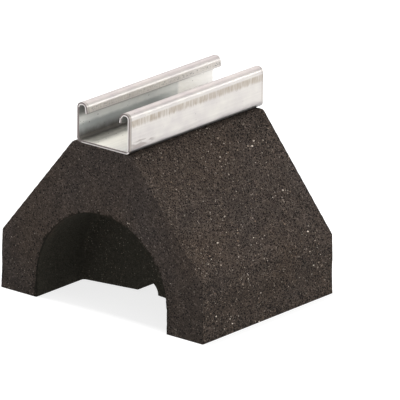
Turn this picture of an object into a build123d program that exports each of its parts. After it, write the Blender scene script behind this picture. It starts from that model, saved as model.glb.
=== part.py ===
from build123d import *
from math import isclose, radians, tan
import os

# A rooftop support: a moulded crumb-rubber block that carries a short length of galvanised
# strut channel, held down by two lag screws with washers.
# Millimetres. +X runs across the block, +Y along the channel, +Z up. The origin is the centre
# of the overall footprint, on the surface that the block stands on.

# ---- Rubber block -------------------------------------------------------------------------
FOOT_WIDTH = 160.0           # across the two feet, at the bottom
KNEE_WIDTH = 158.0           # across the knees: the sides lean in a little to leave the mould
BLOCK_DEPTH = 125.0          # front face to back face
KNEE_HEIGHT = 38.0           # where the upright sides turn into the slopes
BLOCK_HEIGHT = 106.4
CREST_WIDTH = 47.0           # the flat that the channel lies on
CORNER_ROUND = 1.2           # knees and crest edges
FACE_ROUND = 0.8             # round the front and back faces

# ---- Recesses and drain -------------------------------------------------------------------
ARCH_RADIUS = 51.5           # the half-round top of each recess
ARCH_SPRING = 12.6           # height of the upright jambs below the half-round
RECESS_DEPTH = 44.5          # from each face to the web between the recesses
RECESS_ROUND = 2.0           # where the recess's walls meet the web
RIM_ROUND = 0.6              # the recess's edge on the face
DRAIN_RADIUS = 8.0           # half-round drain through the foot of the web
WEB_LIFT = 3.0               # the web's underside rises this far from the jambs to the drain

# ---- Strut channel ------------------------------------------------------------------------
CHANNEL_WIDTH = 41.3
CHANNEL_HEIGHT = 25.4
CHANNEL_LENGTH = 127.0
SHEET = 1.6                  # 16 gauge
SLOT_WIDTH = 24.8            # between the edges of the lips
LIP_DEPTH = 6.4              # from the top of the flange to the lip's edge
LIP_LEAN = 1.0               # the lip's edge stands this much nearer the middle than its bend
FLOOR_BEND = 2.9             # outside radius where the floor turns up into the sides
FLANGE_BEND = 3.4            # outside radius where the sides and the lips meet the flanges
CHANNEL_SET_BACK = 1.0       # the channel's front end lies this far behind the block's face

# ---- Lag screws and washers ---------------------------------------------------------------
SCREW_PITCH = 50.8           # between the two screws, along the channel
SCREW_DIAMETER = 6.35
SCREW_LENGTH = 38.0          # under the head
POINT_LENGTH = 7.0           # the tapered point, part of the length
HEAD_ACROSS_FLATS = 11.1
HEAD_HEIGHT = 4.4
HEAD_BEVEL = 30.0            # slope of the bevel round the head's top, in degrees
WASHER_DIAMETER = 18.6
WASHER_THICKNESS = 1.6
HOLE_CLEARANCE = 0.4         # round the screw, in the channel's floor and in the washer

CUT_PAST = 5.0               # how far each cutting shape runs beyond the face that it opens
ON_PLANE = 0.01              # an edge this near to a plane lies on it

# ---- Places worked out from the sizes -----------------------------------------------------
OVERALL_DEPTH = max(BLOCK_DEPTH, CHANNEL_SET_BACK + CHANNEL_LENGTH)
FRONT_Y = -OVERALL_DEPTH / 2
BACK_Y = FRONT_Y + BLOCK_DEPTH
CHANNEL_FRONT_Y = FRONT_Y + CHANNEL_SET_BACK
CHANNEL_CENTRE_Y = CHANNEL_FRONT_Y + CHANNEL_LENGTH / 2
WASHER_SEAT_Z = BLOCK_HEIGHT + SHEET        # the top of the channel's floor
HEAD_SEAT_Z = WASHER_SEAT_Z + WASHER_THICKNESS
HOLE_RADIUS = SCREW_DIAMETER / 2 + HOLE_CLEARANCE
SCREW_YS = [CHANNEL_CENTRE_Y + side * SCREW_PITCH / 2 for side in (-1, 1)]


def section(y):
    """The plane of a cross-section at y: its x is the part's X, and its y is the part's Z."""
    return Plane(origin=(0, y, 0), x_dir=(1, 0, 0), z_dir=(0, -1, 0))


def mirrored(half):
    """The points of a right-hand half, followed by their mirror images from last to first."""
    return half + [(-x, z) for x, z in reversed(half)]


# ---- Rubber block -------------------------------------------------------------------------
def block_outline():
    """The house-shaped section of the block."""
    half = [
        (FOOT_WIDTH / 2, 0),
        (KNEE_WIDTH / 2, KNEE_HEIGHT),
        (CREST_WIDTH / 2, BLOCK_HEIGHT),
    ]
    return make_face(Polyline(*mirrored(half), close=True))


def recess_outline():
    """A half-round arch on upright jambs, open below."""
    jambs = Rectangle(2 * ARCH_RADIUS, ARCH_SPRING + CUT_PAST, align=(Align.CENTER, Align.MAX))
    return Pos(0, ARCH_SPRING) * (jambs + Circle(ARCH_RADIUS))


def drain_outline():
    """The rise in the web's underside, and the half-round drain at its top."""
    half = [
        (ARCH_RADIUS, -CUT_PAST),
        (ARCH_RADIUS, 0),
        (DRAIN_RADIUS, WEB_LIFT),
    ]
    rise = make_face(Polyline(*mirrored(half), close=True))
    return rise + Pos(0, WEB_LIFT) * Circle(DRAIN_RADIUS)


def make_recess(face_y, inward):
    """The shape cut from one face; inward is +1 from the front face and -1 from the back."""
    mouth = section(face_y - inward * CUT_PAST) * recess_outline()
    recess = extrude(mouth, amount=RECESS_DEPTH + CUT_PAST, dir=(0, inward, 0))
    blind_end = recess.faces().sort_by(Axis.Y)[-1 if inward > 0 else 0]
    corners = blind_end.edges().filter_by(lambda edge: edge.center().Z > 0)
    return fillet(corners, RECESS_ROUND)


def verge_edges(block, face_y):
    """The edges round one end face of the plain block, apart from the one it stands on."""
    on_face = block.edges().filter_by_position(Axis.Y, face_y - ON_PLANE, face_y + ON_PLANE)
    return on_face.filter_by(lambda edge: edge.center().Z > ON_PLANE)


def rim_edges(block, face_y):
    """The edges where a recess opens in one end face: two jambs and the half-round."""
    on_face = block.edges().filter_by_position(Axis.Y, face_y - ON_PLANE, face_y + ON_PLANE)
    jambs = on_face.filter_by(Axis.Z).filter_by(
        lambda edge: isclose(abs(edge.center().X), ARCH_RADIUS, abs_tol=ON_PLANE)
    )
    arcs = on_face.filter_by(GeomType.CIRCLE).filter_by(
        lambda edge: isclose(edge.radius, ARCH_RADIUS, abs_tol=ON_PLANE)
    )
    return jambs + arcs


def make_block():
    block = extrude(section(BACK_Y) * block_outline(), amount=BLOCK_DEPTH)
    long_edges = block.edges().filter_by(Axis.Y)
    block = fillet(long_edges.filter_by(lambda edge: edge.center().Z > ON_PLANE), CORNER_ROUND)
    for face_y in (FRONT_Y, BACK_Y):
        block = fillet(verge_edges(block, face_y), FACE_ROUND)
    block -= make_recess(FRONT_Y, 1) + make_recess(BACK_Y, -1)
    for face_y in (FRONT_Y, BACK_Y):
        block = fillet(rim_edges(block, face_y), RIM_ROUND)
    block -= extrude(section(BACK_Y) * drain_outline(), amount=BLOCK_DEPTH)
    for screw_y in SCREW_YS:
        block -= Pos(0, screw_y, HEAD_SEAT_Z) * screw_shank()
    return block


# ---- Strut channel ------------------------------------------------------------------------
def make_channel():
    """Floor, sides, flanges and lips folded from one sheet, with a hole for each screw."""
    half = [
        (SLOT_WIDTH / 2, CHANNEL_HEIGHT - LIP_DEPTH),
        (SLOT_WIDTH / 2 + LIP_LEAN, CHANNEL_HEIGHT),
        (CHANNEL_WIDTH / 2, CHANNEL_HEIGHT),
        (CHANNEL_WIDTH / 2, 0),
    ]
    bends = [FLANGE_BEND, FLANGE_BEND, FLOOR_BEND, FLOOR_BEND, FLANGE_BEND, FLANGE_BEND]
    outside = FilletPolyline(*mirrored(half), radius=bends)
    folded = make_brake_formed(SHEET, CHANNEL_LENGTH, line=outside, side=Side.RIGHT)
    channel = Pos(0, CHANNEL_FRONT_Y, BLOCK_HEIGHT) * Rot(90, 0, 0) * folded
    for screw_y in SCREW_YS:
        channel -= Pos(0, screw_y, BLOCK_HEIGHT) * Cylinder(HOLE_RADIUS, 2 * CUT_PAST)
    return channel


# ---- Lag screws and washers ---------------------------------------------------------------
def screw_shank():
    """Shank and tapered point, hanging below the head's seat at z = 0."""
    radius = SCREW_DIAMETER / 2
    profile = Polyline(
        (0, 0),
        (radius, 0),
        (radius, POINT_LENGTH - SCREW_LENGTH),
        (0, -SCREW_LENGTH),
        close=True,
    )
    return revolve(section(0) * make_face(profile), axis=Axis.Z)


def screw_head():
    """A hexagon whose upper corners are turned off by a shallow bevel."""
    hexagon = RegularPolygon(HEAD_ACROSS_FLATS / 2, 6, major_radius=False)
    corner_radius = max(vertex.center().length for vertex in hexagon.vertices())
    bevel_height = (corner_radius - HEAD_ACROSS_FLATS / 2) * tan(radians(HEAD_BEVEL))
    turned = Polyline(
        (0, 0),
        (corner_radius, 0),
        (corner_radius, HEAD_HEIGHT - bevel_height),
        (HEAD_ACROSS_FLATS / 2, HEAD_HEIGHT),
        (0, HEAD_HEIGHT),
        close=True,
    )
    blank = revolve(section(0) * make_face(turned), axis=Axis.Z)
    return extrude(hexagon, amount=HEAD_HEIGHT) & blank


def make_screws():
    screw = screw_head() + screw_shank()
    return Compound([Pos(0, screw_y, HEAD_SEAT_Z) * screw for screw_y in SCREW_YS])


def make_washers():
    washer = extrude(Circle(WASHER_DIAMETER / 2) - Circle(HOLE_RADIUS), amount=WASHER_THICKNESS)
    return Compound([Pos(0, screw_y, WASHER_SEAT_Z) * washer for screw_y in SCREW_YS])


os.makedirs("parts", exist_ok=True)
export_step(make_block(), "parts/block.step")
export_step(make_channel(), "parts/channel.step")
export_step(make_screws(), "parts/screws.step")
export_step(make_washers(), "parts/washers.step")
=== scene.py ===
from math import cos, hypot, radians, sin

import bpy
import numpy as np
from mathutils import Matrix, Vector, noise


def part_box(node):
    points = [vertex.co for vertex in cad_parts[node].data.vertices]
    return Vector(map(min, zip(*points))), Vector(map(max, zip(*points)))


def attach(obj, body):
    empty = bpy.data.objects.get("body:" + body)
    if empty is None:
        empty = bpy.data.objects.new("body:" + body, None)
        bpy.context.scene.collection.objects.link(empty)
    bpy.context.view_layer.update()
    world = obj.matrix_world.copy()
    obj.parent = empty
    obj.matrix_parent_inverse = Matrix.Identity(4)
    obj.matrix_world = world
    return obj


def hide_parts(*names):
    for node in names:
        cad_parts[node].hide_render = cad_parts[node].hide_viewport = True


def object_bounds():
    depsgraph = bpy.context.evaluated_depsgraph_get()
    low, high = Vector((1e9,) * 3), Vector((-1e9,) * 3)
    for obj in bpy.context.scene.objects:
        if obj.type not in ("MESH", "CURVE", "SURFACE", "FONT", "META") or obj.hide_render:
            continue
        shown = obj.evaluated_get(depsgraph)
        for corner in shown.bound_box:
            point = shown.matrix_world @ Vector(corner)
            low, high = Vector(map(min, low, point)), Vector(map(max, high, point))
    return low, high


# The looks of a rooftop support: a crumb-rubber block with a short galvanised strut channel
# screwed along its crest. Metres, in the frame of the CAD model. Colours are linear red, green
# and blue.

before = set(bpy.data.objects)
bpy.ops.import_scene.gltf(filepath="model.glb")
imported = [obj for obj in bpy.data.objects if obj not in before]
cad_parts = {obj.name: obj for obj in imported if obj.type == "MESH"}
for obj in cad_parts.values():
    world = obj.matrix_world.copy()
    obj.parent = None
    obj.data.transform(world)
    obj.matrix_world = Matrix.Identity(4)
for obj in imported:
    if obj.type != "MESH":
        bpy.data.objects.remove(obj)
CAD_LOW, CAD_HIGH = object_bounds()
BLOCK_LOW, BLOCK_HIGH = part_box("block")
CHANNEL_LOW, CHANNEL_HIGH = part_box("channel")
MM = 0.001

# ---- Camera: a long lens, a little above the object, towards its front and right faces ----
VIEW_AZIMUTH = 39.26         # degrees round from the front face
VIEW_ELEVATION = 18.61
VIEW_ROLL = 0.67
FRAME_WIDTH = 0.24368        # the width that the picture shows at the object
CAMERA_DISTANCE = 4.8736
SENSOR_WIDTH = 36.0          # millimetres
AIM_HEIGHT = 0.060           # the object's point that the framing is measured from
AIM_RIGHT = 0.01966          # the picture's centre lies this far right of that point
AIM_DOWN = 0.00184           # and this far below it

# ---- Block --------------------------------------------------------------------------------
KNEE_HEIGHT = 38.0 * MM      # where the upright sides turn into the slopes
ARCH_RADIUS = 51.5 * MM      # the half-round top of each recess
ARCH_SPRING = 12.6 * MM      # height of the upright jambs below the half-round
RECESS_DEPTH = 44.5 * MM     # from each face to the web between the recesses
RIM_ROUND = 0.6 * MM         # the recess's edge on the face

# ---- Crumb rubber: the relief of its mesh -------------------------------------------------
GRID_DEPTH = 8               # the block's remesh: 2 to this power cells across its grid
GRID_FILL = 0.59             # the share of the grid that the block takes up
SHARP_ANGLE = 32.0           # degrees: facets that meet at more than this keep a sharp edge
CRUMB_SIZE = 2.3 * MM        # across one granule
CRUMB_DEPTH = 0.14 * MM      # how deep the gaps between granules go
GAP_STEEPNESS = 2.5          # the higher, the narrower the gaps
PIT_SIZE = 5.0 * MM          # across the larger hollows where a granule is missing
PIT_DEPTH = 0.15 * MM
PIT_LEVEL = 0.15             # the noise that a pit starts from
CHIP_SIZE = 2.6 * MM         # across the bites along an edge
CHIP_DEPTH = 0.12 * MM
CHIP_LEVEL = 0.05            # the noise that a chip starts from
RIM_CHIP_DEPTH = 0.8 * MM    # the recesses' rims are bitten deeper than the outer edges
RIM_ZONE = 1.5 * MM          # this near to the rim a point is on it
EDGE_CALM = 0.85             # the share of the granules' relief that a square edge loses
RECESS_CALM = 0.5            # and the share that the inside of a recess loses
STANDING_ZONE = 1.5 * MM     # the relief fades out this near to the surface it stands on

# ---- Crumb rubber: its colours ------------------------------------------------------------
SHRED_SIZE = 0.68 * MM
SHRED_PULL = 0.9             # how far noise pulls the shreds' borders about, in shreds
CLUMP_SIZE = 1.4 * MM
SHRED_TONES = [
    (0.0, (0.0490, 0.0388, 0.0322)),
    (0.5, (0.0788, 0.0619, 0.0532)),
    (0.9, (0.1035, 0.0812, 0.0712)),
    (1.0, (0.1550, 0.1230, 0.1070)),
]
VOID_BLACK = (0.004, 0.0034, 0.0030)
DRIFT_TINTS = [(0.3, (0.94, 0.96, 0.99)), (0.7, (1.065, 1.015, 0.94))]
# The slopes' tint is paler than the sides' as painted light, and the end faces' tints darken them
# towards their feet as painted shade
SIDE_TINT = (1.06, 1.025, 0.975)
SLOPE_LIGHT_TINT = (1.13, 1.095, 1.05)
END_FOOT_SHADE = (0.755, 0.755, 0.75)
END_TOP_SHADE = (0.935, 0.925, 0.925)
# The recesses' skin tones are darkened with painted shade
SKIN_SHADE_TONES = [(0.0, (0.0325, 0.0312, 0.0248)), (1.0, (0.0525, 0.0504, 0.0396))]
RUBBED_BROWN = (0.054, 0.043, 0.033)
FLECK_TONES = [
    (0.0, (0.17, 0.11, 0.070)),
    (0.45, (0.29, 0.220, 0.165)),
    (0.75, (0.50, 0.42, 0.345)),
    (1.0, (0.95, 0.84, 0.72)),
]
# Each kind of fleck: size of its cells, share of the cells without one, radius in its cell,
# strength, share of the strength that it keeps on the web, and shift of its pattern
FLECKS = [
    ((1.7 * MM, 1.7 * MM, 0.95 * MM), 0.988, 0.46, 1.0, 0.7, 0.0),
    (0.80 * MM, 0.965, 0.50, 0.75, 0.3, 7.3),
    (0.65 * MM, 0.900, 0.55, 0.24, 0.65, 3.1),
]
END_FLECKS = 0.4             # the end faces have this share of the other faces' flecks
WALL_FLECKS = 0.25           # the recesses' walls show flecks this strongly beside the web's

# ---- Strut channel ------------------------------------------------------------------------
CHANNEL_HEIGHT = CHANNEL_HIGH.z - CHANNEL_LOW.z
HALF_WIDTH = (CHANNEL_HIGH.x - CHANNEL_LOW.x) / 2
SHEET = 1.6 * MM
BEND = 3.4 * MM              # outside radius of its bends
FLANGE_WIDTH = 7.25 * MM     # from the side to the lip
LIP_DEPTH = 6.4 * MM
LIP_LEAN = 1.0 * MM / LIP_DEPTH             # the lips lean towards the slot as they go down
LIP_EDGE = CHANNEL_HEIGHT - LIP_DEPTH       # height of the lips' lower edges
ROLLER_BAND = 19.4 * MM      # height of the roller marks above the channel's underside

ZINC_OUTSIDE = [(0.3, (0.575, 0.542, 0.530)), (0.7, (0.665, 0.638, 0.598))]
ZINC_INSIDE = [(0.3, (0.60, 0.610, 0.595)), (0.7, (0.70, 0.705, 0.675))]
TOP_TINT = (1.02, 0.965, 0.975)
ROLLER_TAN = (0.440, 0.385, 0.325)
PIT_GREY = (0.22, 0.22, 0.22)
LIP_EDGE_SHADE = (0.19, 0.17, 0.16)
SMUDGE_GREY = (0.36, 0.335, 0.335)
SCUFF_BROWN = (0.30, 0.26, 0.245)
FOOT_SHADE_GREY = (0.13, 0.135, 0.14)
DARK_MARK = (0.20, 0.18, 0.17)
WALL_SHADE_GREY = (0.30, 0.325, 0.33)
WALL_REFLECTION_CREAM = (0.87, 0.84, 0.80)
FLOOR_LIT_CREAM = (0.84, 0.805, 0.715)
FLOOR_SHADE_GREY = (0.54, 0.52, 0.49)
CORNER_SHADE_BROWN = (0.125, 0.112, 0.100)
FLANGE_SHADE = (0.32, 0.315, 0.31)
SPECK_BLACK = (0.11, 0.105, 0.10)
ROLLOVER_TAN = (0.35, 0.315, 0.285)
SAWN_TONES = [(0.3, (0.155, 0.128, 0.124)), (0.7, (0.26, 0.224, 0.218))]
BURR_HIGHLIGHT = (0.84, 0.80, 0.78)

# ---- Screws and washers -------------------------------------------------------------------
PLATE_TONES = [(0.3, (0.56, 0.59, 0.63)), (0.55, (0.64, 0.64, 0.64)), (0.75, (0.68, 0.65, 0.57))]

# ---- Stage --------------------------------------------------------------------------------
STAGE_REACH = 6.0            # from the middle of the stage's floor to its edges
STAGE_GLOW = 0.78            # lifts that floor to white where nothing shades it
SKY_STRENGTH = 0.52
LIGHT_DISTANCE = 3.0


class Finish:
    """A Principled material, with short ways to add the nodes that feed it.

    colour is its base colour so far: tint and paint add to it layer by layer.
    """

    def __init__(self, name):
        self.material = bpy.data.materials.new(name)
        self.material.use_nodes = True
        self.tree = self.material.node_tree
        self.shader = self.tree.nodes["Principled BSDF"]
        self.place = self.node("ShaderNodeTexCoord").outputs["Object"]
        parts = self.node("ShaderNodeSeparateXYZ", {"Vector": self.place})
        self.x, self.y, self.z = (parts.outputs[axis] for axis in "XYZ")
        self.colour = None

    def feed(self, socket, value):
        """Give a socket a number, a colour or another node's output."""
        if isinstance(value, bpy.types.NodeSocket):
            self.tree.links.new(value, socket)
        elif isinstance(value, tuple) and len(value) == 3 and socket.type == "RGBA":
            socket.default_value = (*value, 1.0)
        else:
            socket.default_value = value

    def set(self, name, value):
        """Give one of the shader's own sockets its value."""
        self.feed(self.shader.inputs[name], value)

    def node(self, kind, inputs=None, **settings):
        """Add a node; inputs go by the names or the numbers of its sockets."""
        node = self.tree.nodes.new(kind)
        for key, value in settings.items():
            setattr(node, key, value)
        for key, value in (inputs or {}).items():
            self.feed(node.inputs[key], value)
        return node

    # Numbers

    def maths(self, operation, first, second=0.0):
        return self.node("ShaderNodeMath", {0: first, 1: second}, operation=operation).outputs[0]

    def plus(self, first, second):
        return self.maths("ADD", first, second)

    def minus(self, first, second):
        return self.maths("SUBTRACT", first, second)

    def flip(self, value):
        return self.minus(1.0, value)

    def product(self, *values):
        result = values[0]
        for value in values[1:]:
            result = self.maths("MULTIPLY", result, value)
        return result

    def smaller(self, first, second):
        return self.maths("MINIMUM", first, second)

    def larger(self, first, second):
        return self.maths("MAXIMUM", first, second)

    def is_below(self, value, limit):
        return self.maths("LESS_THAN", value, limit)

    def is_above(self, value, limit):
        return self.maths("GREATER_THAN", value, limit)

    def choose(self, choice, first, second):
        """first where choice is 1, and second where it is 0."""
        # A Mix node's factor is its socket 0, and its two numbers are its sockets 2 and 3
        inputs = {0: choice, 2: second, 3: first}
        return self.node("ShaderNodeMix", inputs, data_type="FLOAT").outputs[0]

    def rise(self, value, start, end, low=0.0, high=1.0):
        """Goes smoothly from low to high as value goes from start to end."""
        inputs = {"Value": value, "From Min": start, "From Max": end, "To Min": low, "To Max": high}
        return self.node("ShaderNodeMapRange", inputs, interpolation_type="SMOOTHSTEP").outputs[0]

    def fall(self, value, start, end):
        """Goes smoothly from 1 to 0 as value goes from start to end."""
        return self.rise(value, start, end, 1.0, 0.0)

    def band(self, value, start, end, soft):
        """1 between start and end, fading to 0 within soft on both sides."""
        return self.product(self.rise(value, start - soft, start), self.fall(value, end, end + soft))

    # Places and patterns

    def vector(self, operation, first, second):
        inputs = {0: first, 1: second}
        return self.node("ShaderNodeVectorMath", inputs, operation=operation).outputs[0]

    def distance(self, across, along):
        """How far the point (across, along) lies from the origin."""
        point = self.node("ShaderNodeCombineXYZ", {"X": across, "Y": along}).outputs[0]
        return self.node("ShaderNodeVectorMath", {0: point}, operation="LENGTH").outputs["Value"]

    def scaled(self, size, shift=0.0):
        """Object coordinates with one feature per size, a length or a length along each axis."""
        lengths = size if isinstance(size, tuple) else (size,) * 3
        place = self.vector("MULTIPLY", self.place, tuple(1 / length for length in lengths))
        return self.vector("ADD", place, (shift,) * 3)

    def noise(self, size, detail=2.0, shift=0.0, output="Fac"):
        """Noise from 0 to 1, its middle near 0.5."""
        inputs = {"Vector": self.scaled(size, shift), "Scale": 1.0, "Detail": detail}
        return self.node("ShaderNodeTexNoise", inputs).outputs[output]

    def cells(self, place, feature="F1"):
        inputs = {"Vector": place, "Scale": 1.0}
        return self.node("ShaderNodeTexVoronoi", inputs, feature=feature)

    def picks(self, cells):
        """Three independent random numbers for each cell."""
        parts = self.node("ShaderNodeSeparateColor", {"Color": cells.outputs["Color"]})
        return parts.outputs["Red"], parts.outputs["Green"], parts.outputs["Blue"]

    # Colours and relief

    def ramp(self, source, stops):
        """A colour ramp; stops are (position, colour)."""
        node = self.node("ShaderNodeValToRGB", {"Fac": source})
        elements = node.color_ramp.elements
        while len(elements) < len(stops):
            elements.new(0.5)
        for element, (position, colour) in zip(elements, stops):
            element.position = position
            element.color = (*colour, 1.0)
        return node.outputs["Color"]

    def mix(self, factor, first, second, blend="MIX"):
        # A Mix node's colours are its sockets 6 and 7, and its mixed colour is its output 2
        inputs = {0: factor, 6: first, 7: second}
        return self.node("ShaderNodeMix", inputs, data_type="RGBA", blend_type=blend).outputs[2]

    def tinted(self, colour, tint):
        """A colour multiplied by another colour or by a number."""
        return self.mix(1.0, colour, tint, "MULTIPLY")

    def tint(self, tint, *amounts):
        """Multiply the colour so far by a tint, as far as the product of the amounts."""
        self.colour = self.mix(self.product(1.0, *amounts), self.colour, tint, "MULTIPLY")

    def paint(self, colour, *amounts):
        """Lay a colour over the colour so far, as far as the product of the amounts."""
        self.colour = self.mix(self.product(*amounts), self.colour, colour)

    def bump(self, height, strength, distance):
        inputs = {"Height": height, "Strength": strength, "Distance": distance}
        self.set("Normal", self.node("ShaderNodeBump", inputs).outputs["Normal"])


# ---- Rubber -------------------------------------------------------------------------------
class Rubber(Finish):
    """Bonded crumb, and where on the block a point of it lies."""

    def __init__(self):
        super().__init__("crumb_rubber")
        self.up = self.minus(self.z, BLOCK_LOW.z)
        from_front = self.minus(self.y, BLOCK_LOW.y)
        from_back = self.minus(BLOCK_HIGH.y, self.y)
        self.from_face = self.smaller(from_front, from_back)
        self.end_face = self.fall(self.from_face, 0.45 * MM, 0.75 * MM)
        self.shaded_hollow = self.recesses()

    def recesses(self):
        """1 inside the recesses and in the bites that their rims have in the face, where painted
        shade is laid.
        """
        above_jambs = self.larger(self.minus(self.up, ARCH_SPRING), 0.0)
        from_rim = self.minus(self.distance(self.x, above_jambs), ARCH_RADIUS)
        ragged = self.noise(1.8 * MM, detail=1.0, shift=1.0)
        # The bites reach the recesses' painted shade out onto the face along the rims
        bites = self.product(self.rise(ragged, 0.50, 0.62, 0.0, 1.3 * MM), self.end_face)
        return self.fall(self.minus(from_rim, bites), 0.7 * RIM_ROUND, 1.1 * RIM_ROUND)


def lay_shreds(rubber):
    """Shreds of uneven tone: cells whose borders are pulled about by noise.

    Gives each shred's tone, and how far a point lies from its shred's border.
    """
    waver = rubber.noise(1.3 * MM, detail=1.0, output="Color")
    pulled = rubber.vector("MULTIPLY", waver, (SHRED_PULL,) * 3)
    place = rubber.vector("ADD", rubber.scaled(SHRED_SIZE), pulled)
    tone, _, _ = rubber.picks(rubber.cells(place))
    from_border = rubber.cells(place, feature="DISTANCE_TO_EDGE").outputs["Distance"]
    rubber.colour = rubber.ramp(tone, SHRED_TONES)
    gap_tone = rubber.rise(rubber.end_face, 0.0, 1.0, 0.10, 0.35)
    rubber.tint(rubber.rise(from_border, 0.0, 0.14, gap_tone, 1.0))
    return tone, from_border


def lay_voids(rubber):
    """Voids between clumps: fewer on the end faces, which are pressed flatter."""
    clumps = rubber.cells(rubber.scaled(CLUMP_SIZE))
    clump_tone, pick, _ = rubber.picks(clumps)
    void = rubber.product(
        rubber.is_above(pick, rubber.rise(rubber.end_face, 0.0, 1.0, 0.28, 0.48)),
        rubber.fall(clumps.outputs["Distance"], 0.32, 0.44),
    )
    rubber.paint(VOID_BLACK, void, 0.96)
    rubber.tint(rubber.rise(clump_tone, 0.0, 1.0, 0.90, 1.10))
    return void


def lay_drifts_and_painted_light(rubber):
    """Uneven packing, slow drifts between reddish brown and grey, and a tint for each face.

    The slopes get painted light that makes them a little paler than the sides, and the end faces get
    painted shade that darkens them towards their feet.
    """
    packing = rubber.noise(8 * MM, shift=6.0)
    rubber.tint(rubber.rise(packing, 0.3, 0.7, 0.86, 1.14))
    rubber.tint(rubber.ramp(rubber.noise(38 * MM, detail=3.0), DRIFT_TINTS))
    # Painted light on the slopes above the knee, and painted shade darkening the end faces towards
    # their feet
    on_slope = rubber.rise(rubber.up, KNEE_HEIGHT - 1 * MM, KNEE_HEIGHT + 1 * MM)
    long_face_light = rubber.mix(on_slope, SIDE_TINT, SLOPE_LIGHT_TINT)
    end = rubber.mix(rubber.rise(rubber.up, 5 * MM, 60 * MM), END_FOOT_SHADE, END_TOP_SHADE)
    rubber.tint(rubber.mix(rubber.end_face, long_face_light, end))


def lay_skin_shade(rubber, tone):
    """The moulded skin inside the recesses: darker and calmer as painted shade, and rubbed brown
    near the rim.
    """
    # Painted shade: the skin's darkness stands in for the shade inside the recesses
    skin = rubber.ramp(tone, SKIN_SHADE_TONES)
    skin = rubber.tinted(skin, rubber.rise(rubber.from_face, 0.0, 40 * MM, 0.82, 0.94))
    rubbed = rubber.product(
        rubber.rise(rubber.noise(9 * MM, detail=3.0, shift=9.0), 0.34, 0.54),
        rubber.fall(rubber.from_face, 4 * MM, 12 * MM),
        rubber.rise(rubber.up, 34 * MM, 46 * MM),
        0.8,
    )
    skin = rubber.mix(rubbed, skin, RUBBED_BROWN)
    # Painted shade: darkest in the bites along the rims, next to the face
    skin = rubber.tinted(skin, rubber.rise(rubber.from_face, 0.6 * MM, 1.6 * MM, 0.45, 0.96))
    rubber.paint(skin, rubber.shaded_hollow, 0.88)


def lay_flecks(rubber):
    """Flecks of pale and tan crumb, in loose drifts, and faint on the recesses' walls."""
    crowd = rubber.rise(rubber.noise(14 * MM, shift=4.0), 0.38, 0.58, 0.3, 1.0)
    web = RECESS_DEPTH - 0.5 * MM
    on_web = rubber.rise(rubber.from_face, web - 2 * MM, web, WALL_FLECKS, 1.0)
    for size, bare, radius, strength, kept, shift in FLECKS:
        flecks = rubber.cells(rubber.scaled(size, shift))
        shade, pick, _ = rubber.picks(flecks)
        bare_end = 1 - END_FLECKS * (1 - bare)
        recess_strength = rubber.product(on_web, strength * kept)
        rubber.paint(
            rubber.ramp(shade, FLECK_TONES),
            rubber.is_above(pick, rubber.rise(rubber.end_face, 0.0, 1.0, bare, bare_end)),
            rubber.is_below(flecks.outputs["Distance"], radius),
            crowd,
            rubber.rise(rubber.shaded_hollow, 0.0, 1.0, strength, recess_strength),
        )


def rubber_finish():
    """Bonded crumb: dark shreds of uneven tone, black voids, and sparse pale flecks."""
    rubber = Rubber()
    tone, from_border = lay_shreds(rubber)
    void = lay_voids(rubber)
    lay_drifts_and_painted_light(rubber)
    lay_skin_shade(rubber, tone)
    lay_flecks(rubber)
    rubber.set("Base Color", rubber.colour)
    rubber.set("Roughness", 0.82)
    rubber.set("Specular IOR Level", rubber.rise(rubber.shaded_hollow, 0.0, 1.0, 0.12, 0.03))
    height = rubber.minus(rubber.rise(from_border, 0.0, 0.22), void)
    rubber.bump(height, strength=0.9, distance=0.45 * MM)
    return rubber.material


def even_mesh(node_name):
    """The node's surface as facets of one size with its edges kept, fit to carry a relief."""
    source = bpy.data.objects.new("source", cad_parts[node_name].data.copy())
    bpy.context.scene.collection.objects.link(source)
    remesh = source.modifiers.new("even", "REMESH")
    remesh.mode = "SHARP"
    remesh.octree_depth = GRID_DEPTH
    remesh.scale = GRID_FILL
    remesh.use_remove_disconnected = False
    depsgraph = bpy.context.evaluated_depsgraph_get()
    mesh = bpy.data.meshes.new_from_object(source.evaluated_get(depsgraph))
    bpy.data.objects.remove(source)
    return mesh


def edge_sharpness(mesh, normals):
    """For each vertex, 0 on a flat face and 1 on a square edge."""
    corner = np.empty(len(mesh.loops), dtype=np.int32)
    mesh.loops.foreach_get("vertex_index", corner)
    face_normals = np.array([polygon.normal for polygon in mesh.polygons])
    totals = np.array([polygon.loop_total for polygon in mesh.polygons])
    per_corner = np.repeat(face_normals, totals, axis=0)
    agreement = np.sum(per_corner * normals[corner], axis=1)
    lowest = np.ones(len(mesh.vertices))
    np.minimum.at(lowest, corner, agreement)
    square = 1 - cos(radians(45))
    return np.clip((1 - lowest) / square, 0, 1)


def crumb_relief(point, sharpness):
    """How far the surface lies below its granules' tops at a point."""
    near, _ = noise.voronoi(point / CRUMB_SIZE)
    gap = 1.0 - min(1.0, (near[1] - near[0]) * GAP_STEEPNESS)
    pit = max(0.0, noise.noise(point / PIT_SIZE) - PIT_LEVEL)
    chip = max(0.0, noise.noise(point / CHIP_SIZE) - CHIP_LEVEL) * sharpness
    above_jambs = max(0.0, point.z - BLOCK_LOW.z - ARCH_SPRING)
    from_rim = hypot(point.x, above_jambs) - ARCH_RADIUS
    chip_depth = RIM_CHIP_DEPTH if abs(from_rim) < RIM_ZONE else CHIP_DEPTH
    calm = max(RECESS_CALM if from_rim < RIM_ROUND else 0.0, EDGE_CALM * sharpness)
    face = (CRUMB_DEPTH * gap + PIT_DEPTH * pit) * (1 - calm)
    standing = min(1.0, (point.z - CAD_LOW.z) / STANDING_ZONE)
    return (face + chip_depth * chip) * standing


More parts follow.
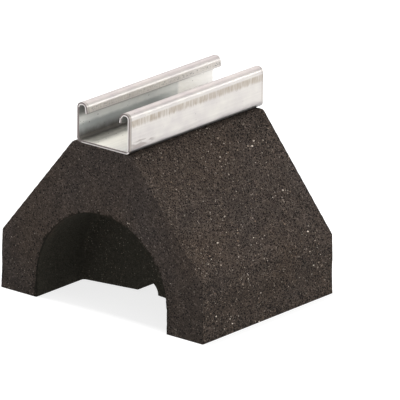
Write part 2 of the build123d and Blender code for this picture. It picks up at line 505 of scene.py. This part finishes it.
def build_block():
    mesh = even_mesh("block")
    normals = np.array([vertex.normal for vertex in mesh.vertices])
    sharpness = edge_sharpness(mesh, normals)
    for index, vertex in enumerate(mesh.vertices):
        relief = crumb_relief(vertex.co, sharpness[index])
        sunk = vertex.co - Vector(normals[index]) * relief
        vertex.co = [min(max(value, low), high)
                     for value, low, high in zip(sunk, BLOCK_LOW, BLOCK_HIGH)]
    mesh.materials.clear()
    mesh.materials.append(rubber_finish())
    mesh.shade_smooth()
    mesh.set_sharp_from_angle(angle=radians(SHARP_ANGLE))
    block = bpy.data.objects.new("crumb_block", mesh)
    bpy.context.scene.collection.objects.link(block)
    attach(block, "root")
    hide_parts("block")


# ---- Steel --------------------------------------------------------------------------------
class Steel(Finish):
    """Galvanised sheet, and where on the folded channel a point of it lies."""

    def __init__(self):
        super().__init__("galvanised_sheet")
        self.up = self.minus(self.z, CHANNEL_LOW.z)
        self.out = self.maths("ABSOLUTE", self.x)
        self.from_wall = self.plus(self.x, HALF_WIDTH)
        self.from_front = self.minus(self.y, CHANNEL_LOW.y)
        self.by_lip = self.product(
            self.is_below(self.out, HALF_WIDTH - FLANGE_WIDTH / 2),
            self.is_above(self.up, CHANNEL_HEIGHT / 2),
        )
        self.depth = self.depth_in_sheet()
        self.inner = self.is_above(self.depth, SHEET / 2)
        self.outer = self.flip(self.inner)
        self.on_lip = self.product(self.outer, self.by_lip)
        normal = self.node("ShaderNodeTexCoord").outputs["Normal"]
        facing = self.node("ShaderNodeSeparateXYZ", {"Vector": normal}).outputs["Y"]
        self.sawn = self.is_above(self.maths("ABSOLUTE", facing), 0.9)
        self.streaks = self.noise((1.1 * MM, 60 * MM, 1.1 * MM), detail=3.0, shift=3.0)
        self.patches = self.noise(14 * MM, shift=5.0)

    def depth_in_sheet(self):
        """How far a point lies below the channel's outer skin, which goes round to the lips."""
        lean = self.product(self.minus(CHANNEL_HEIGHT, self.up), self.by_lip, LIP_LEAN)
        off_middle = self.minus(self.plus(self.out, lean), HALF_WIDTH - FLANGE_WIDTH / 2)
        past_flange = self.minus(self.maths("ABSOLUTE", off_middle), FLANGE_WIDTH / 2 - BEND)
        past_side = self.minus(self.out, HALF_WIDTH - BEND)
        in_upper_half = self.is_above(self.up, CHANNEL_HEIGHT / 2)
        across = self.choose(in_upper_half, past_flange, past_side)
        off_middle = self.minus(self.up, CHANNEL_HEIGHT / 2)
        along = self.minus(self.maths("ABSOLUTE", off_middle), CHANNEL_HEIGHT / 2 - BEND)
        return self.minus(BEND, self.distance(self.larger(across, 0.0), self.larger(along, 0.0)))


def lay_zinc(steel):
    """Clouds of cream and mauve grey, faint streaks along the channel, and a mauver top."""
    clouds = steel.noise(11 * MM, detail=4.0)
    outside = steel.ramp(clouds, ZINC_OUTSIDE)
    steel.colour = steel.mix(steel.inner, outside, steel.ramp(clouds, ZINC_INSIDE))
    steel.tint(steel.rise(steel.streaks, 0.3, 0.7, 0.96, 1.03))
    on_top = steel.rise(steel.up, CHANNEL_HEIGHT - 1.5 * MM, CHANNEL_HEIGHT - 0.5 * MM)
    steel.tint(TOP_TINT, on_top, steel.outer)


def lay_roller_marks(steel):
    """Short upright strokes in a tan band on the sides, and fainter on the lips."""
    strokes = steel.noise((2 * MM, 0.7 * MM, 7 * MM), shift=11.0)
    ragged = steel.plus(steel.up, steel.product(strokes, 2.4 * MM))
    side_band = steel.product(
        steel.rise(ragged, ROLLER_BAND - 2.4 * MM, ROLLER_BAND - 0.2 * MM),
        steel.fall(steel.up, ROLLER_BAND + 1.0 * MM, ROLLER_BAND + 2.2 * MM),
        steel.outer,
        steel.flip(steel.on_lip),
    )
    lip_band = steel.product(
        steel.band(steel.up, LIP_EDGE + 1.2 * MM, LIP_EDGE + 3.4 * MM, 0.8 * MM),
        steel.on_lip,
        0.45,
    )
    marks = steel.product(
        steel.larger(side_band, lip_band),
        steel.rise(strokes, 0.36, 0.60, 0.35, 1.0),
        steel.rise(steel.patches, 0.3, 0.6, 0.8, 1.0),
    )
    steel.paint(ROLLER_TAN, marks)
    return marks


def lay_lip_marks(steel):
    """Pits in the zinc of the lips, mostly at the back, and a line of painted shade along their
    edges.
    """
    pits = steel.cells(steel.scaled((1.0 * MM, 1.5 * MM, 0.9 * MM)))
    _, pick, _ = steel.picks(pits)
    steel.paint(
        PIT_GREY,
        steel.is_above(pick, 0.45),
        steel.fall(pits.outputs["Distance"], 0.30, 0.48),
        steel.band(steel.up, LIP_EDGE + 1.3 * MM, LIP_EDGE + 2.7 * MM, 0.5 * MM),
        steel.larger(steel.rise(steel.patches, 0.40, 0.60), steel.rise(steel.y, 0.0, 35 * MM)),
        steel.on_lip,
        0.8,
    )
    # Painted shade: a dark line along the lips' lower edges, fading towards the back
    steel.paint(
        LIP_EDGE_SHADE,
        steel.fall(steel.up, LIP_EDGE + 0.1 * MM, LIP_EDGE + 0.6 * MM),
        steel.rise(steel.y, 10 * MM, 50 * MM, 0.8, 0.3),
        steel.on_lip,
    )


def lay_foot_marks(steel):
    """Along the foot of the sides: smudges, scuffs near the front, and a dark band of painted shade
    and painted reflection of the block.
    """
    smears = steel.noise((4 * MM, 20 * MM, 3 * MM), detail=3.0, shift=8.0)
    steel.paint(
        SMUDGE_GREY,
        steel.rise(smears, 0.42, 0.66, 0.30, 0.85),
        steel.fall(steel.up, 2 * MM, 7 * MM),
        steel.outer,
    )
    scuffs = steel.noise((4 * MM, 10 * MM, 1.5 * MM), shift=17.0)
    steel.paint(
        SCUFF_BROWN,
        steel.rise(scuffs, 0.45, 0.58),
        steel.band(steel.up, 3 * MM, 7 * MM, 3 * MM),
        steel.band(steel.from_front, 5 * MM, 18 * MM, 8 * MM),
        steel.outer,
        0.75,
    )
    # Painted shade and painted reflection of the dark block: a dark band along the foot of the sides
    steel.paint(FOOT_SHADE_GREY, steel.fall(steel.up, 0.8 * MM, 4.0 * MM), steel.outer, 0.8)


def lay_nicks(steel):
    """A few upright nicks on the outside."""
    nicks = steel.cells(steel.scaled((3 * MM, 2.4 * MM, 15 * MM)))
    pick, _, _ = steel.picks(nicks)
    steel.paint(
        DARK_MARK,
        steel.is_above(pick, 0.93),
        steel.fall(nicks.outputs["Distance"], 0.06, 0.10),
        steel.outer,
        0.7,
    )


def lay_inside(steel):
    """The left-hand wall with painted shade low down and a painted reflection at the back, the floor
    with painted light and shade, and painted shade in the corner and under the flanges.
    """
    tatters = steel.noise(5 * MM, detail=4.0, shift=2.0)
    on_wall = steel.product(steel.is_below(steel.from_wall, 2 * SHEET), steel.inner)
    tattered_height = steel.plus(steel.up, steel.product(tatters, 2 * MM))
    # Painted shade low on the left-hand wall, towards the front
    steel.paint(
        WALL_SHADE_GREY,
        steel.fall(tattered_height, 11 * MM, 13.5 * MM),
        steel.fall(steel.y, 0.0, 45 * MM),
        on_wall,
        0.75,
    )
    # The floor: a painted pool of light in the middle, and painted shade greying it towards the
    # right-hand wall
    floor = steel.mix(steel.rise(steel.x, -4 * MM, 19 * MM), FLOOR_LIT_CREAM, FLOOR_SHADE_GREY)
    floor = steel.tinted(floor, steel.rise(steel.streaks, 0.35, 0.65, 0.92, 1.04))
    steel.paint(floor, steel.is_below(steel.up, 2 * SHEET), steel.inner, 0.8)
    # A painted reflection: the left-hand wall bright towards the back
    steel.paint(WALL_REFLECTION_CREAM, steel.rise(steel.y, 29 * MM, 32 * MM), on_wall, 0.85)

    # Painted shade along the corner between the left-hand wall and the floor
    from_corner = steel.plus(steel.plus(steel.from_wall, steel.up), steel.product(tatters, 5 * MM))
    corner_shade = steel.product(steel.fall(from_corner, 6.5 * MM, 13 * MM), steel.inner)
    steel.paint(CORNER_SHADE_BROWN, corner_shade, 0.88)

    # The hollows under the flanges are in deep shade
    steel.tint(FLANGE_SHADE, steel.rise(steel.up, LIP_EDGE - 4.5 * MM, LIP_EDGE), steel.inner)
    return corner_shade


def lay_specks(steel):
    """Dark specks, mostly inside."""
    cells = steel.cells(steel.scaled(2.8 * MM))
    _, pick, size = steel.picks(cells)
    specks = steel.product(
        steel.is_above(pick, 0.66),
        steel.is_below(cells.outputs["Distance"], steel.rise(size, 0.0, 1.0, 0.07, 0.16)),
        steel.choose(steel.inner, 1.0, 0.25),
    )
    steel.paint(SPECK_BLACK, specks, 0.8)
    return specks


def burr_highlight_along_cut(steel):
    """1 on the painted highlight of the burr, which runs along one skin of the sheet on a sawn face.

    It is on the inner skin, but under the floor and on the right-hand lip it is on the outer
    one, and the left-hand side has none.
    """
    below_flange = steel.is_below(steel.up, CHANNEL_HEIGHT - BEND)
    under_floor = steel.product(
        steel.is_below(steel.up, SHEET),
        steel.is_above(steel.from_wall, BEND),
    )
    right_lip = steel.product(below_flange, steel.by_lip, steel.is_above(steel.x, 0.0))
    left_side = steel.product(below_flange, steel.is_below(steel.from_wall, BEND))
    inner_burr_highlight = steel.product(steel.rise(steel.depth, 0.85 * MM, 1.1 * MM), steel.flip(left_side))
    outer_burr_highlight = steel.fall(steel.depth, 0.5 * MM, 0.75 * MM)
    return steel.choose(steel.larger(under_floor, right_lip), outer_burr_highlight, inner_burr_highlight)


def lay_ends(steel):
    """A tan rollover next to each cut, a dark line beside the front one, and the sawn faces with a
    painted highlight along the burr.
    """
    from_back = steel.minus(CHANNEL_HIGH.y, steel.y)
    from_end = steel.smaller(steel.from_front, from_back)
    at_front = steel.is_below(steel.y, 0.0)
    steel.paint(
        ROLLOVER_TAN,
        steel.fall(from_end, 1.3 * MM, 1.9 * MM),
        steel.choose(at_front, 0.9, 0.35),
        steel.choose(steel.on_lip, 0.4, 1.0),
        steel.outer,
    )
    line = steel.band(from_end, 1.6 * MM, 1.8 * MM, 0.2 * MM)
    steel.paint(DARK_MARK, line, at_front, steel.outer, 0.5)
    saw_marks = steel.noise((0.5 * MM, 4 * MM, 3 * MM), detail=3.0)
    # The sawn faces' colour, with a painted highlight along the burr
    sawn_colour_and_highlight = steel.mix(burr_highlight_along_cut(steel), steel.ramp(saw_marks, SAWN_TONES), BURR_HIGHLIGHT)
    steel.paint(sawn_colour_and_highlight, steel.sawn)


def galvanised_finish():
    """Rolled galvanised sheet: clouded zinc, roller marks, sawn ends and a duller inside."""
    steel = Steel()
    lay_zinc(steel)
    marks = lay_roller_marks(steel)
    lay_lip_marks(steel)
    lay_foot_marks(steel)
    lay_nicks(steel)
    corner_shade = lay_inside(steel)
    specks = lay_specks(steel)
    lay_ends(steel)
    steel.set("Base Color", steel.colour)
    steel.set("Metallic", steel.choose(steel.larger(steel.sawn, steel.inner), 0.3, 0.75))

    # Rougher on the marks, the specks, the painted corner shade and the sawn ends, and a little on
    # the top bends
    dull = steel.larger(steel.larger(marks, specks), corner_shade)
    bends = steel.band(steel.up, CHANNEL_HEIGHT - 2.8 * MM, CHANNEL_HEIGHT - 0.6 * MM, 0.4 * MM)
    roughness = steel.rise(steel.streaks, 0.3, 0.7, 0.34, 0.42)
    roughness = steel.plus(roughness, steel.product(dull, 0.2))
    roughness = steel.plus(roughness, steel.product(steel.sawn, 0.25))
    roughness = steel.plus(roughness, steel.product(bends, steel.outer, 0.07))
    steel.set("Roughness", roughness)
    height = steel.plus(steel.product(steel.streaks, 0.5), steel.noise(2.5 * MM, detail=3.0))
    steel.bump(height, strength=0.25, distance=0.05 * MM)
    return steel.material


def zinc_finish():
    """Bright zinc plate with a faint blue and straw bloom, duller in patches."""
    zinc = Finish("zinc_plate")
    grain = zinc.noise(0.5 * MM)
    zinc.set("Base Color", zinc.ramp(zinc.noise(4 * MM, detail=3.0), PLATE_TONES))
    zinc.set("Metallic", 1.0)
    zinc.set("Roughness", zinc.rise(grain, 0.3, 0.7, 0.24, 0.42))
    zinc.bump(grain, strength=0.2, distance=0.04 * MM)
    return zinc.material


def dress_cad_node(name, material):
    """Give a CAD node its finish."""
    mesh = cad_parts[name].data
    mesh.materials.clear()
    mesh.materials.append(material)


# ---- Stage --------------------------------------------------------------------------------
def build_floor():
    mesh = bpy.data.meshes.new("floor")
    reach = STAGE_REACH
    corners = [(-reach, -reach), (reach, -reach), (reach, reach), (-reach, reach)]
    mesh.from_pydata([(x, y, CAD_LOW.z) for x, y in corners], [], [(0, 1, 2, 3)])
    floor = bpy.data.objects.new("floor", mesh)
    bpy.context.scene.collection.objects.link(floor)
    finish = Finish("floor")
    finish.set("Base Color", (0.38, 0.38, 0.38))
    finish.set("Emission Color", (1.0, 1.0, 1.0))
    finish.set("Emission Strength", STAGE_GLOW)
    finish.set("Roughness", 1.0)
    finish.set("Specular IOR Level", 0.0)
    mesh.materials.append(finish.material)


def towards(azimuth, elevation):
    """The direction, seen from the object, of an azimuth round from its front and an elevation."""
    turn, lift = radians(azimuth), radians(elevation)
    return Vector((sin(turn) * cos(lift), -cos(turn) * cos(lift), sin(lift)))


def add_softbox(name, azimuth, elevation, size, power):
    """A square light that faces the object."""
    light = bpy.data.lights.new(name, "AREA")
    light.size = size
    light.energy = power
    lamp = bpy.data.objects.new(name, light)
    direction = towards(azimuth, elevation)
    lamp.location = Vector((0, 0, AIM_HEIGHT)) + direction * LIGHT_DISTANCE
    lamp.rotation_euler = direction.to_track_quat("Z", "Y").to_euler()
    bpy.context.scene.collection.objects.link(lamp)


def light_scene():
    world = bpy.data.worlds.new("studio")
    world.use_nodes = True
    background = world.node_tree.nodes["Background"]
    background.inputs["Color"].default_value = (1.0, 1.0, 1.0, 1.0)
    background.inputs["Strength"].default_value = SKY_STRENGTH
    bpy.context.scene.world = world
    add_softbox("overhead", 270, 75, size=0.8, power=85)
    add_softbox("side", 85, 30, size=0.8, power=24)
    add_softbox("rim", 140, 15, size=0.6, power=13)
    add_softbox("backdrop", 198, 31, size=2.6, power=11)
    bpy.context.scene.view_settings.view_transform = "Standard"


def place_camera():
    turn, roll = radians(VIEW_AZIMUTH), radians(VIEW_ROLL)
    back = towards(VIEW_AZIMUTH, VIEW_ELEVATION)
    level = Vector((cos(turn), sin(turn), 0))
    above = back.cross(level)
    right = level * cos(roll) + above * sin(roll)
    up = above * cos(roll) - level * sin(roll)
    block_middle = (BLOCK_LOW + BLOCK_HIGH) / 2
    aim = Vector((block_middle.x, block_middle.y, CAD_LOW.z + AIM_HEIGHT))
    data = bpy.data.cameras.new("camera")
    data.sensor_width = SENSOR_WIDTH
    data.lens = SENSOR_WIDTH * CAMERA_DISTANCE / FRAME_WIDTH
    camera = bpy.data.objects.new("camera", data)
    turned = Matrix((right, up, back)).transposed().to_4x4()
    spot = aim + right * AIM_RIGHT - up * AIM_DOWN + back * CAMERA_DISTANCE
    camera.matrix_world = Matrix.Translation(spot) @ turned
    bpy.context.scene.collection.objects.link(camera)
    bpy.context.scene.camera = camera


build_block()
dress_cad_node("channel", galvanised_finish())
zinc = zinc_finish()
dress_cad_node("screws", zinc)
dress_cad_node("washers", zinc)
build_floor()
light_scene()
place_camera()
